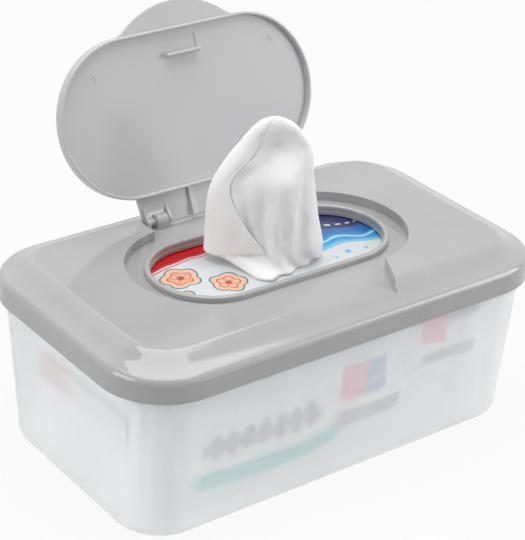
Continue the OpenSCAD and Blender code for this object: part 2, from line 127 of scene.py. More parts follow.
class Finish:
    """The nodes of a material, or of the world when that is the owner."""

    def __init__(self, name, owner=None):
        self.owner = owner or bpy.data.materials.new(name)
        self.owner.use_nodes = True
        self.tree = self.owner.node_tree
        self.tree.nodes.clear()

    def add(self, kind, settings=None, *values, out=0, **named):
        """Adds a node: first its settings, then a value or a wire for its sockets, by place or by name."""
        node = self.tree.nodes.new("ShaderNode" + kind)
        for key, value in (settings or {}).items():
            setattr(node, key, value)
        sockets = [s for s in node.inputs if s.enabled]
        pairs = list(zip(sockets, values))
        for key, value in named.items():
            pairs.append((next(s for s in sockets if s.name == key.replace("_", " ")), value))
        for socket, value in pairs:
            if isinstance(value, Wire):
                self.tree.links.new(value.socket, socket)
            else:
                socket.default_value = value
        outputs = [s for s in node.outputs if s.enabled]
        if not outputs:
            return None
        return Wire(self, outputs[out] if isinstance(out, int) else next(s for s in outputs if s.name == out))

    def place(self):
        return self.add("TexCoord", out="Object")

    def split(self, vector):
        """x, y and z of a vector in millimetres."""
        scaled = self.add("VectorMath", {"operation": "SCALE"}, vector, Scale=1000.0)
        node = self.add("SeparateXYZ", {}, scaled).socket.node
        return [Wire(self, s) for s in node.outputs]

    def stretched(self, vector, x, y, z):
        return self.add("VectorMath", {"operation": "MULTIPLY"}, vector, (x, y, z))

    def noise(self, vector, scale, detail=2.0, rough=0.5, bend=0.0):
        return self.add("TexNoise", {}, Vector=vector, Scale=scale, Detail=detail, Roughness=rough,
                        Distortion=bend)

    def blend(self, share, first, second):
        return self.add("Mix", {"data_type": "RGBA"}, share, first, second)

    def lay(self, share, tint, under):
        """Ink of a colour over what is printed already."""
        return self.blend(share, under, tint)

    def bump(self, height, strength, distance, normal=None):
        extra = {} if normal is None else {"Normal": normal}
        return self.add("Bump", {}, Strength=strength, Distance=distance, Height=height, **extra)

    def plastic(self, **sockets):
        return self.add("BsdfPrincipled", {}, **sockets)

    def seen(self):
        """1 where the surface itself is looked at: straight, in a reflection or through the frosted tub."""
        path = self.add("LightPath").socket.node
        camera, glossy, through = (Wire(self, path.outputs[f"Is {kind} Ray"])
                                   for kind in ("Camera", "Glossy", "Transmission"))
        return camera.most(glossy).most(through)

    def close(self, shader, output="OutputMaterial"):
        self.add(output, {}, Surface=shader)
        return self.owner


def colour(red, green, blue):
    """A colour given on the 0 to 255 scale of a screen."""
    shares = [v / 255 for v in (red, green, blue)]
    return tuple(s / 12.92 if s <= 0.04045 else ((s + 0.055) / 1.055) ** 2.4 for s in shares) + (1.0,)


# ------------------------------------------------------------------ finishes

def grey_moulding(name, grey, gloss, seed):
    """Glossy grey polypropylene: slight mottling, soft moulding waviness, dust and fine rub marks."""
    f = Finish(name)
    shifted = f.add("VectorMath", {"operation": "ADD"}, f.place(), (seed, seed * 0.7, seed * 0.3))
    cloud = f.noise(shifted, 28, 3, 0.55)
    grain = f.noise(shifted, 900, 2, 0.6)
    rub = f.noise(f.stretched(shifted, 90, 160, 90), 1.0, 4, 0.6)
    dust = f.noise(shifted, 2400, 1, 0.5)
    specks = (dust - 0.73).step(0.03)
    base = f.blend(cloud, colour(grey - 5, grey - 5, grey - 4), colour(grey + 5, grey + 5, grey + 6))
    base = f.blend(grain * 0.18, base, colour(grey - 16, grey - 16, grey - 15))
    base = f.blend(specks * 0.35, base, colour(214, 214, 214))
    rough = gloss + cloud * 0.06 + (rub - 0.55).most(0) * 0.10 + specks * 0.2
    wave = f.bump(cloud, 0.10, 0.0012)
    normal = f.bump(grain, 0.05, 0.00012, wave)
    return f.close(f.plastic(Base_Color=base, Roughness=rough, Normal=normal, IOR=1.49, Coat_Weight=0.25,
                             Coat_Roughness=0.05))


def frosted_moulding():
    """Frosted see-through polypropylene: milky and finely etched, so what is behind shows as soft colour."""
    f = Finish("frosted_tub")
    place = f.place()
    cloud = f.noise(place, 22, 3, 0.55)
    etch = f.noise(place, 1600, 2, 0.6)
    base = f.blend(cloud, colour(246, 247, 248), colour(251, 251, 251))
    rough = 0.12 + cloud * 0.05 + etch * 0.04
    normal = f.bump(etch, 0.10, 0.00015, f.bump(cloud, 0.12, 0.001))
    body = f.plastic(Base_Color=base, Roughness=rough, Normal=normal, IOR=1.2, Transmission_Weight=0.60,
                     Specular_IOR_Level=0.4)
    passing = f.add("BsdfTransparent", {}, (0.96, 0.96, 0.96, 1))
    lamp_ray = f.add("LightPath", out="Is Shadow Ray")
    return f.close(f.add("MixShader", {}, lamp_ray * 0.94, body, passing))


def printed_top(f, place, x, y, paint):
    """Print on the pack's top. x and y in millimetres."""
    def disc(mid_x, mid_y, radius):
        return (radius - ((x - mid_x) ** 2 + (y - mid_y) ** 2) ** 0.5).step(0.25)

    # Red across the back left corner, with a dark and a light line along it
    band = y - 14.2 - 0.10 * (x + 46) + 0.35 * (x * 0.5).sin()
    left = (-9.0 - x - 0.035 * (y - 14.0) ** 2).step(0.5)
    top = f.lay(band.step(0.3) * left, colour(196, 18, 24), paint)
    top = f.lay((0.45 - abs(band - 2.6)).step(0.3) * left, colour(150, 12, 20), top)
    top = f.lay((0.4 - abs(band + 1.4)).step(0.3) * left, colour(214, 84, 80), top)

    # Petal motifs in peach, each outlined in teal
    for mid_x, mid_y, radius in ((-40.0, 4.0, 7.8), (-26.0, -8.4, 7.2), (-47.0, -9.5, 4.8)):
        away = ((x - mid_x) ** 2 + (y - mid_y) ** 2) ** 0.5
        turn = f.add("Math", {"operation": "ARCTAN2"}, y - mid_y, x - mid_x)
        petal = radius * (0.80 + 0.20 * abs((turn * 2.5 + mid_x).sin())) - away
        shade = (petal - 0.42 * radius).step(0.4) * (0.5 + 0.5 * (turn * 5).sin())
        top = f.lay((petal + 0.7).step(0.25), colour(14, 126, 132), top)
        top = f.lay(petal.step(0.25), colour(238, 186, 160), top)
        top = f.lay((0.32 - abs(petal - 0.34 * radius)).step(0.25), colour(176, 84, 66), top)
        top = f.lay(shade, colour(224, 150, 122), top)
        top = f.lay(disc(mid_x, mid_y, 0.2 * radius), colour(176, 84, 66), top)

    # Blues in soft waves over the back right part, deepest at the back, with a dashed line and three drops
    warp = f.noise(f.stretched(place, 26, 60, 26), 1.0, 3, 0.5)
    rise = y + 7.6 + 0.11 * (x - 30) - 1.1 * (x * 0.23 + 0.6).sin() + (warp - 0.5) * 5.0
    right = (x - 6.0 - 0.6 * abs(y - 2.0)).step(0.5)
    crest = (0.7 - abs(rise - 6.2 - 0.8 * (x * 0.4).sin())).step(0.6)
    dashes = (0.5 - abs(rise - 18.2)).step(0.3) * (x * 1.4).sin().step(0.3)
    top = f.lay(rise.step(0.5) * right, colour(112, 190, 222), top)
    top = f.lay((rise - 2.6).step(2.4) * right, colour(40, 140, 200), top)
    top = f.lay((rise - 8.0).step(4.5) * right, colour(18, 98, 164), top)
    top = f.lay(crest * right, colour(150, 212, 240), top)
    top = f.lay((rise - 14.6).step(0.6) * right, colour(38, 44, 92), top)
    top = f.lay(dashes * right, colour(214, 214, 226), top)
    for mid_x, mid_y, radius in ((30.0, -12.5, 1.3), (38.5, -13.5, 0.9), (23.0, -14.0, 0.7)):
        top = f.lay(disc(mid_x, mid_y, radius), colour(96, 186, 228), top)
    return top


def printed_sides(f, x, z, paint):
    """Print on the pack's sides: wide shapes that show through the tub's wall as soft patches of colour."""
    def patch(mid_x, mid_z, half_x, half_z, soft_x, soft_z, slant=0.0):
        level = z - mid_z + slant * (x - mid_x) if slant else z - mid_z
        return (half_x - abs(x - mid_x)).step(soft_x) * (half_z - abs(level)).step(soft_z)

    pink, blue, grey = colour(228, 124, 152), colour(104, 146, 208), colour(156, 160, 168)
    bend = 2.0 * (x * 0.05).sin()
    stripe = (3.4 - abs(z - 15.0 - bend)).step(2.0) * (x + 66.0).step(4.0) * (4.0 - x).step(6.0)
    beads = (6.4 * abs((x * 0.42).sin()) ** 0.5 - 0.6 - abs(z - 28.0)).step(1.5)
    side = f.lay(stripe, colour(112, 196, 198), paint)
    side = f.lay(beads * (x + 62.0).step(2.0) * (-6.0 - x).step(2.0), colour(150, 153, 160), side)
    side = f.lay(patch(10.0, 36.0, 6.5, 8.0, 0.6, 0.6), pink, side)
    side = f.lay(patch(21.0, 36.0, 5.0, 8.0, 0.6, 0.6), blue, side)
    side = f.lay(patch(18.0, 20.0, 16.0, 3.4, 1.0, 0.6), grey, side)
    side = f.lay(patch(50.0, 50.0, 7.0, 9.0, 0.6, 0.8, slant=0.3), pink, side)
    side = f.lay(patch(66.0, 54.0, 9.0, 6.0, 0.6, 0.8), colour(140, 146, 172), side)
    return f.lay(patch(58.0, 34.0, 14.0, 2.6, 1.0, 0.6), colour(164, 168, 176), side)


def printed_film():
    """Printed film of the refill pack: pale and creased, printed on its top and more faintly on its sides."""
    f = Finish("pack_film")
    place = f.place()
    x, y, z = f.split(place)
    haze = f.noise(place, 90, 2, 0.5)
    # Painted shade and painted light: the same white film is painted greyer on its top (216) than on its
    # sides (240)
    top = printed_top(f, place, x, y, f.blend(haze, colour(216, 217, 219), colour(207, 210, 214)))
    side = printed_sides(f, x, z, f.blend(haze, colour(240, 242, 244), colour(233, 236, 240)))
    normal = f.add("NewGeometry", out="Normal")
    facing_up = Wire(f, f.add("SeparateXYZ", {}, normal).socket.node.outputs["Z"])
    base = f.blend((facing_up - 0.6).step(0.3), side, top)
    crease = f.noise(f.stretched(place, 60, 110, 60), 1.0, 3, 0.5, 1.2)
    fine = f.noise(place, 420, 2, 0.5)
    uneven = f.bump(fine, 0.10, 0.0002, f.bump(crease, 0.35, 0.0012))
    rough = 0.24 + haze * 0.10 + fine * 0.06
    return f.close(f.plastic(Base_Color=base, Roughness=rough, Normal=uneven, IOR=1.5, Coat_Weight=0.1))


def nonwoven(name, tint):
    """Soft wet nonwoven: crossed fibres, faint cloudiness where layers lie on each other."""
    f = Finish(name)
    cut = f.add("UVMap", {"uv_map": "cut"})
    cloud = f.noise(cut, 60, 3, 0.6)
    along = f.noise(f.stretched(cut, 2600, 320, 1), 1.0, 3, 0.65, 0.6)
    across = f.noise(f.stretched(cut, 420, 2200, 1), 1.0, 3, 0.65, 0.8)
    fibres = (along + across) * 0.5
    base = f.blend(cloud, tint, colour(250, 250, 250))
    base = f.blend((fibres - 0.5).most(0) * 0.5, base, colour(232, 233, 234))
    rough = 0.82 + fibres * 0.12
    normal = f.bump(fibres, 0.45, 0.0004, f.bump(cloud, 0.45, 0.0012))
    return f.close(f.plastic(Base_Color=base, Roughness=rough, Normal=normal, Sheen_Weight=0.25,
                             Sheen_Roughness=0.5, Subsurface_Weight=0.08,
                             Subsurface_Radius=(0.002, 0.002, 0.002), Subsurface_Scale=1.0))


def bright_floor():
    """White floor that keeps the object's shadow and reads as clean white beside it."""
    f = Finish("floor")
    dust = f.noise(f.place(), 3.0, 2, 0.5)
    base = f.blend(dust, (0.60, 0.60, 0.60, 1), (0.62, 0.62, 0.62, 1))
    lit = f.plastic(Base_Color=base, Roughness=0.9, Specular_IOR_Level=0.2)
    glow = f.add("Emission", {}, (1, 1, 1, 1), 1.0)
    return f.close(f.add("MixShader", {}, f.seen() * 0.90, lit, glow))


# ------------------------------------------------------------------ mesh helpers

def new_object(name, mesh):
    obj = bpy.data.objects.new(name, mesh)
    scene.collection.objects.link(obj)
    return obj


def settled(obj):
    """Turns the object's modifiers into plain mesh."""
    bpy.context.view_layer.update()
    graph = bpy.context.evaluated_depsgraph_get()
    mesh = bpy.data.meshes.new_from_object(obj.evaluated_get(graph))
    mesh.name = obj.name
    obj.modifiers.clear()
    obj.data = mesh
    return obj


def walled(obj, thickness, offset=0):
    """Gives a sheet its thickness in metres, to both sides of it, or inwards where offset is -1."""
    wall = obj.modifiers.new("thickness", "SOLIDIFY")
    wall.thickness, wall.offset = thickness, offset
    return settled(obj)


def moved(obj, placing):
    """Puts a mesh where it belongs; the object itself stays at the origin."""
    obj.data.transform(placing)
    obj.data.update()


def finish_piece(obj, body, material, slot, *nodes):
    """Gives the piece its only material and puts it on its body, in place of the named CAD nodes."""
    obj.data.materials.clear()
    obj.data.materials.append(material)
    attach(obj, body)
    if nodes:
        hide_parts(*nodes)


def eased_copy(node, name, ease):
    """A merged copy of a CAD node with its sharp edges rounded by ease, lying where the node lies."""
    mesh = bpy.data.meshes.new(name)
    bm = bmesh.new()
    bm.from_mesh(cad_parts[node].data)
    bmesh.ops.remove_doubles(bm, verts=bm.verts, dist=2e-6)
    bmesh.ops.dissolve_limit(bm, angle_limit=radians(0.35), verts=bm.verts, edges=bm.edges)
    for face in bm.faces:
        face.smooth = True
    bm.to_mesh(mesh)
    bm.free()
    obj = new_object(name, mesh)
    if ease:
        bevel = obj.modifiers.new("ease", "BEVEL")
        bevel.width, bevel.segments = ease, 3
        bevel.limit_method, bevel.angle_limit = "ANGLE", radians(30)
        bevel.harden_normals, bevel.use_clamp_overlap = True, True
        bevel.miter_outer = "MITER_ARC"
    obj.data.set_sharp_from_angle(angle=radians(40))
    even = obj.modifiers.new("even", "WEIGHTED_NORMAL")
    even.keep_sharp, even.weight = True, 80
    return settled(obj)


# Millimetres: the centre of the lid's rounded corners, the lid's outer face from the raised top down to the
# ledge as reach from that centre and height, and how far its shading leans there, in degrees
CORNER_X, CORNER_Y = 73.0, 33.0
SLOPE_REACH, SLOPE_LEVEL = [13.6, 18.2, 26.0], [78.4, 74.6, 72.5]
LEAN_REACH, LEAN = [12.4, 13.6, 15, 16.5, 18.2, 19.5, 23.0], [0, 13, 28, 31, 27, 23, 16]


def soften_slope(obj):
    """Shades the slope round the lid's raised top as one wide soft bend: only its normals change."""
    mesh = obj.data
    normals = []
    for face in mesh.polygons:
        for corner in face.loop_indices:
            at = mesh.vertices[mesh.loops[corner].vertex_index].co / MM
            normal = Vector(mesh.corner_normals[corner].vector)
            out = Vector((math.copysign(max(abs(at.x) - CORNER_X, 0), at.x),
                          math.copysign(max(abs(at.y) - CORNER_Y, 0), at.y), 0))
            reach = out.length
            off_face = abs(at.z - np.interp(reach, SLOPE_REACH, SLOPE_LEVEL))
            if 12.6 < reach < 23.0 and face.normal.z > 0.5 and off_face < 0.9:
                lean = radians(float(np.interp(reach, LEAN_REACH, LEAN)))
                normal = out.normalized() * math.sin(lean) + Vector((0, 0, math.cos(lean)))
            normals.append(normal)
    mesh.normals_split_custom_set(normals)


def grid_mesh(name, points, uv=None, close_columns=False):
    """A mesh from rows and columns of points in metres, with UVs in metres in the layer cut."""
    rows, cols = points.shape[:2]
    mesh = bpy.data.meshes.new(name)
    faces = []
    for i in range(rows - 1):
        for j in range(cols if close_columns else cols - 1):
            here, beside = i * cols + j, i * cols + (j + 1) % cols
            faces.append((here, beside, beside + cols, here + cols))
    mesh.from_pydata(points.reshape(-1, 3).tolist(), [], faces)
    for polygon in mesh.polygons:
        polygon.use_smooth = True
    if uv is not None:
        layer = mesh.uv_layers.new(name="cut")
        flat = uv.reshape(-1, 2)
        for loop in mesh.loops:
            layer.data[loop.index].uv = flat[loop.vertex_index]
    return mesh


def spline_rows(table, count):
    """A smooth curve through the rows of table, sampled evenly in row number."""
    table = np.asarray(table, float)
    n = len(table)
    at = np.linspace(0, n - 1, count)
    i = np.clip(at.astype(int), 0, n - 2)
    f = (at - i).reshape((-1,) + (1,) * (table.ndim - 1))
    a, b, c, d = (table[np.clip(i + k, 0, n - 1)] for k in (-1, 0, 1, 2))
    bend = (2 * a - 5 * b + 4 * c - d) * f ** 2 + (3 * b - 3 * c + d - a) * f ** 3
    return 0.5 * (2 * b + (c - a) * f + bend)


def run_along(line):
    """Distance along a line of points, from 0 at its first."""
    return np.concatenate([[0], np.cumsum(np.linalg.norm(np.diff(line, axis=0), axis=1))])


def smoothed(rows, passes):
    """Evens rows of values out, keeping the first and the last."""
    rows = np.array(rows, float)
    for _ in range(passes):
        rows[1:-1] = 0.5 * rows[1:-1] + 0.25 * (rows[:-2] + rows[2:])
    return rows


def eased(share):
    share = np.clip(share, 0, 1)
    return share * share * (3 - 2 * share)


def ripple(x, y, seed, waves, reach):
    """Soft uneven ripple between about -1 and 1, from a few crossed waves of that reach in millimetres."""
    random = np.random.default_rng(seed)
    total = 0
    for _ in range(waves):
        turn = random.uniform(0, 2 * pi)
        size = reach * random.uniform(0.6, 1.6)
        phase = random.uniform(0, 2 * pi)
        total = total + np.sin((x * np.cos(turn) + y * np.sin(turn)) * 2 * pi / size + phase)
    return total / waves ** 0.5 / 1.4


# ------------------------------------------------------------------ refill pack

# Millimetres: half length, half width, foot and flat top of the pack, its corners, its shoulder round the
# top, the middle of the lid's opening, and half of the slot that the wipe comes through
PACK_X, PACK_Y, PACK_LOW, PACK_TOP = 85.97, 45.97, 1.8, 72.4
PACK_CORNER, PACK_SHOULDER = 14.0, 7.5
OPENING_Y = 0.5
SLOT_X, SLOT_Y = 15, 5


def film_top(x, y):
    """Height of the film, in millimetres: it swells and ripples in the collar and is flat under the lid."""
    away_x = np.clip((np.abs(x) - 31) / 18.5, 0, 1)
    away_y = np.clip((np.abs(y - OPENING_Y) - 8) / 12, 0, 1)
    swell = np.clip(1 - np.hypot(away_x, away_y), 0, 1) ** 0.6
    pull = np.exp(-(np.hypot(np.clip(np.abs(x) - SLOT_X, 0, None), y - OPENING_Y) / 12) ** 2)
    uneven = 0.35 * ripple(x * 0.7, y, 3, 6, 22) + 0.12 * ripple(x, y, 11, 6, 9)
    return PACK_TOP + swell * (1.1 + uneven - 0.3 * pull)


def rounded_loop(half_x, half_y, corner, count):
    """Points evenly spaced round a rounded rectangle, from the middle of its right side."""
    corner = min(corner, half_x, half_y)
    outline = [[[half_x, 0]]]
    for k, (sx, sy) in enumerate(((1, 1), (-1, 1), (-1, -1), (1, -1))):
        centre = np.array([sx * (half_x - corner), sy * (half_y - corner)])
        turn = radians(90) * k + np.linspace(0, pi / 2, 60)
        outline.append(centre + corner * np.stack([np.cos(turn), np.sin(turn)], -1))
    outline = np.concatenate(outline + [[[half_x, 0]]])
    run = run_along(outline)
    at = np.linspace(0, run[-1], count, endpoint=False)
    return np.stack([np.interp(at, run, outline[:, 0]), np.interp(at, run, outline[:, 1])], -1)


def refill_pack():
    """Closed film pouch: pulled in a little between its corners, swelling in the lid's opening, with a slot
    for the wipe whose lips turn down."""
    count = 360
    foot = ((40, 0), (25, 0), (12, 0), (5.5, 0), (3.4, 0.5), (1.6, 1.7), (0.4, 3.6), (0, 5.8))
    rings = [(inset, PACK_LOW + rise) for inset, rise in foot]
    rings += [(0, level) for level in np.linspace(8, 64, 26)]
    for turn in np.radians(np.linspace(0, 90, 9)[1:]):
        rings.append((PACK_SHOULDER * (1 - np.cos(turn)), PACK_TOP - PACK_SHOULDER * (1 - np.sin(turn))))
    points = []
    for inset, level in rings:
        loop = rounded_loop(PACK_X - inset, PACK_Y - inset, max(PACK_CORNER - inset, 2), count)
        points.append(np.column_stack([loop, np.full(count, level)]))
    outer = rounded_loop(PACK_X - PACK_SHOULDER, PACK_Y - PACK_SHOULDER, PACK_CORNER - PACK_SHOULDER, count)
    slot = rounded_loop(SLOT_X, SLOT_Y, SLOT_Y, count) + [0, OPENING_Y]
    for share in np.linspace(0, 1, 44)[1:]:
        loop = outer + (slot - outer) * share ** 0.9
        points.append(np.column_stack([loop, np.full(count, PACK_TOP)]))
    points.append(np.column_stack([slot * [0.985, 0.96], np.full(count, PACK_TOP - 0.9)]))

    x, y, z = np.moveaxis(np.array(points), -1, 0)
    z = z + (film_top(x, y) - PACK_TOP) * (z > PACK_TOP - 0.2)
    side = np.clip((z - 6) / 8, 0, 1) * np.clip((66 - z) / 8, 0, 1)
    run = np.where(np.abs(y) > PACK_Y - 8, x, y)
    uneven = 0.9 * ripple(run, z * 0.6, 21, 7, 30) + 0.35 * ripple(run, z, 22, 7, 12)
    dent = side * (0.9 + uneven).clip(0, 2.6)
    x = x - np.sign(x) * dent * (np.abs(x) > PACK_X - 9)
    y = y - np.sign(y) * dent * (np.abs(y) > PACK_Y - 9)
    mesh = grid_mesh("refill_pack", np.stack([x, y, z], -1) * MM, close_columns=True)
    bm = bmesh.new()
    bm.from_mesh(mesh)
    bm.verts.ensure_lookup_table()
    bm.faces.new([bm.verts[j] for j in reversed(range(count))])
    bmesh.ops.recalc_face_normals(bm, faces=bm.faces)
    bm.to_mesh(mesh)
    bm.free()
    obj = walled(new_object("refill_pack", mesh), 0.00025, -1)
    finish_piece(obj, "tub", FILM, "pack_film", "refill_film")


def folded_stack():
    """The folded wipes: each a sheet folded once, its fold on alternate sides, so that neighbours grip."""
    count, low, high, length, width = 16, 4.8, 67.4, 162.0, 84.0
    pitch, half = (high - low) / count, width / 2
    gap = pitch - 0.9
    turn = gap / 2
    material = nonwoven("stacked_nonwoven", colour(236, 238, 240))
    random = np.random.default_rng(12)
    xs = np.linspace(-length / 2, length / 2, 12)
    for k in range(count):
        side, floor = (1 if k % 2 else -1), low + k * pitch + 0.35
        section = [(-side * half, floor), (0, floor - 0.05), (side * (half - turn), floor)]
        for t in np.radians(np.linspace(-90, 90, 13)[1:-1]):
            section.append((side * (half - turn + turn * np.cos(t)), floor + turn + turn * np.sin(t)))
        section += [(side * (half - turn), floor + gap), (0, floor + gap - 0.05), (-side * half, floor + gap)]
        drift_x, drift_y = random.uniform(-0.4, 0.4, 2)
        points = np.array([[(x + drift_x, y + drift_y, z + 0.08 * math.sin(x * 0.07 + k)) for y, z in section]
                           for x in xs])
        run = run_along(section)
        uv = np.stack(np.broadcast_arrays((xs[:, None] + length / 2) * MM, run[None, :] * MM), -1)
        mesh = grid_mesh("folded_wipe", points * MM, uv)
        obj = walled(new_object(f"folded_wipe_{k + 1:02d}", mesh), 0.0004)
        finish_piece(obj, "tub", material, "nonwoven", *(["wipe_stack"] if k == 0 else []))


# ------------------------------------------------------------------ drawn wipe

# One sheet drawn up into a hood. u runs level to the right of the photographed view and w towards that view,
# in millimetres. The hood's sizes are pairs of height and value, from its tip down to its foot.
TIP, FOOT = 133.3, 75.0
LEFT_SIDE = [(TIP, 0.8), (131.7, -5.7), (127.3, -10.1), (122.1, -13.7), (117.3, -17.3), (111.2, -21),
             (105.5, -23.9), (101, -25.2), (94.6, -25.9), (88, -26.1), (81.5, -26.4), (77, -27.0),
             (74, -27.4)]
RIGHT_SIDE = [(TIP, 0.8), (132.6, 3.3), (131.1, 6.4), (128.7, 9.1), (124.3, 12.4), (118.1, 14.7),
              (109.7, 15.5), (101.2, 16.8), (92.6, 18.1), (83.9, 20.1), (77.4, 21.7), (74, 22.2)]
FRONT_DEPTH = [(TIP, 0), (132, 2.0), (129, 3.6), (124, 5.2), (117, 6.8), (108, 8.2), (98, 9.3), (88, 10.4),
               (80, 11.6), (74, 12.4)]
BACK_DEPTH = [(TIP, 0), (132, 1.8), (129, 3.0), (124, 4.8), (117, 7.0), (108, 9.0), (98, 10.0), (85, 9.6),
              (74, 9)]
FLAP_EDGE = [(TIP, 0.8), (131.5, -2.6), (128, -4.2), (122.5, -6.4), (118.5, -8.6), (113.5, -12.6),
             (110, -15.6), (106, -16.9), (102.5, -16.4), (97.5, -14.1), (92.3, -10.8), (86.8, -6.6),
             (81.8, -2.4), (74, 1)]
PLEAT = [(TIP, 1.2), (128, 6.5), (121, 10.6), (113, 11.2), (100, 10.2), (86, 9.2), (74, 9.6)]

# Rows up the hood, and columns of its four plies: one hidden inside, the front, the back and the flap
WIPE_ROWS = 170
HIDDEN, FRONT, BACK, FLAP = 48, 96, 66, 54
WIPE_CUT, WIPE_WALL = 0.162, 0.00035


def turned(first, second):
    """x and y as u and w, or u and w as x and y, which is the same turn."""
    cos_a, sin_a = math.cos(AZIMUTH), math.sin(AZIMUTH)
    return first * cos_a + second * sin_a, first * sin_a - second * cos_a


def wipe_hood():
    """The hood in u, w and z, as rows from its foot up: dented below its rounded tip and bulging lower down,
    with a flap folded over on the left and a pleat on the right."""
    z = TIP - (TIP - FOOT) * (1 - np.linspace(0, 1, WIPE_ROWS)) ** 1.5
    drop = np.sqrt(TIP - z)

    def along(pairs, passes=10):
        """A smooth size up the hood."""
        heights, values = np.array(pairs, float).T
        return smoothed(np.interp(drop, np.sqrt(TIP - heights), values), passes)[:, None]

    left, right = along(LEFT_SIDE, 6), along(RIGHT_SIDE, 6)
    deep, behind = along(FRONT_DEPTH), along(BACK_DEPTH)
    edge, pleat = along(FLAP_EDGE, 12), along(PLEAT)
    z = z[:, None]
    below_tip = TIP - z

    def skin(u, depth):
        """Rounded outside of the hood."""
        share = np.clip(np.abs(2 * (u - left) / np.maximum(right - left, 0.01) - 1), 0, 1)
        return depth * np.sqrt(np.clip(1 - share ** 2.6, 0, 1))

    def hill(u, mid_u, mid_z, wide, tall):
        return np.exp(-((u - mid_u) / wide) ** 2 - ((z - mid_z) / tall) ** 2)

    def dent(u):
        return 5.4 * hill(u, 2.4, 121.6, 7.4, 6.2) + 2.4 * hill(u, -3.0, 114.5, 4.2, 5.5)

    def hidden_ply():
        across = np.linspace(0, 1, HIDDEN + 1)[:-1]
        u = right - 2.5 * eased(below_tip / 12) - (right - left) * 0.94 * across
        return u, -0.42 * skin(u, behind) + 0.5 * ripple(u, z * 0.3, 41, 5, 14) * eased(below_tip / 12)

    def front_ply():
        across = np.linspace(0, 1, FRONT)
        u = left + (right - left) * (0.65 * (1 - np.cos(pi * across)) / 2 + 0.35 * across)
        under_flap = eased((edge + 1.0 - u) / 2.5)
        by_flap = np.exp(-((u - edge - 4.0) / 3.4) ** 2) * eased((z - 80) / 8) * eased((118 - z) / 8)
        lower = eased((106 - z) / 14) * eased((z - 74) / 6)
        bulge = 2.7 * hill(u, 4.8, 108.5, 5.4, np.where(z > 108.5, 5.4, 16))
        bulge = bulge + 0.6 * hill(u, 2.6, 92.0, 1.6, 14)
        w = skin(u, deep) - 0.75 * under_flap - dent(u) + bulge - 1.6 * (1 - under_flap) * by_flap
        w = w + 0.85 * eased((pleat - u) / 0.9) * eased((124 - z) / 10) - 0.5 * eased((126 - z) / 10)
        gathers = 0.55 * np.sin((u + 0.06 * (z - 90)) * 0.86 + 0.6) + 0.45 * ripple(u, z * 0.14, 4, 5, 9)
        w = w + lower * gathers
        fine = 0.22 * ripple(u, z * 0.6, 9, 6, 13) + 0.11 * ripple(u, z * 0.8, 31, 9, 5)
        return u, w + fine * eased(below_tip / 8)

    def back_ply():
        across = np.linspace(0, 1, BACK + 1)[1:]
        u = right + (left - right) * (0.6 * (1 - np.cos(pi * across)) / 2 + 0.4 * across)
        fine = 0.5 * ripple(u, z * 0.2, 14, 5, 14) * eased(below_tip / 10) * np.sin(pi * across)
        return u, fine - skin(u, behind)

    def flap_ply():
        across = np.linspace(0, 1, FLAP + 1)[1:]
        u = left + (edge - left) * across ** 1.15
        lift = 0.3 + 0.55 * np.sin(pi * across) + 1.6 * across ** 3 * eased((104 - z) / 20)
        fine = 0.3 * ripple(u, z * 0.5, 25, 5, 15) + 0.12 * ripple(u, z, 32, 9, 6)
        w = skin(u, deep) + lift * eased(below_tip / 5) - 0.9 * across ** 2 * dent(u)
        return u, w + fine * eased(below_tip / 10)

    plies = [hidden_ply(), front_ply(), back_ply(), flap_ply()]
    return np.concatenate([np.stack([u, w, z + 0 * u], -1) for u, w in plies], 1)


def wipe_footprint():
    """Where each column of the sheet meets the film, in x and y."""
    hidden = spline_rows([(14, 2), (5, 3), (-5, 3.2), (-12, 3.6), (-16, 4)], HIDDEN + 1)[:-1]
    front = spline_rows([(-16, 4), (-16.4, -5), (-14.5, -15.0), (-5, -15.8), (5.5, -13.6), (16, -11),
                         (20, -6)], FRONT)
    front[:, 1] -= 0.8 * np.sin(0.68 * front[:, 0] + 8.9) * np.sin(np.linspace(0, pi, FRONT)) ** 0.5
    back = spline_rows([(20, -6), (20, 0), (15, 6), (5, 9), (-6, 9.5), (-14, 8), (-16, 4)], BACK + 1)[1:]
    flap = spline_rows([(-16, 4), (-15, 1), (-13.5, -2), (-11, -4)], FLAP + 1)[1:]
    return np.concatenate([hidden, front, back, flap])


def spread_foot(hood, footprint):
    """Spreads the hood's foot over the film; the flap's lower edge hangs above it, turned in."""
    z = hood[:, :1, 2]
    rest = film_top(footprint[:, 0], footprint[:, 1]) + 0.45
    base = np.stack([*turned(footprint[:, 0], footprint[:, 1]), rest], -1)
    share = (np.clip((83 - z) / 8, 0, 1) ** 2.2)[..., None]
    spread = hood * (1 - share) + base * share
    spread[..., 2] = np.where(z < 84, rest + (z - FOOT) * (84 - rest) / (84 - FOOT), z)

    flap, ground = hood[:, -FLAP:], base[-FLAP:]
    knee = 76.6 + 5.2 * np.linspace(0, 1, FLAP + 1)[1:]
    last = np.array([flap[np.argmin(np.abs(z[:, 0] - k)), column] for column, k in enumerate(knee)])
    fallen = np.clip((knee - z) / (knee - FOOT + 1e-6), 0, 1)
    tucked = last + (ground - last) * fallen[..., None]
    tucked[..., 1] -= 2.2 * np.sin(pi * fallen)
    hung = eased((knee - z) / 2.4)[..., None]
    spread[:, -FLAP:] = flap * (1 - hung) + tucked * hung
    return smoothed(smoothed(spread, 3).swapaxes(0, 1), 2).swapaxes(0, 1)


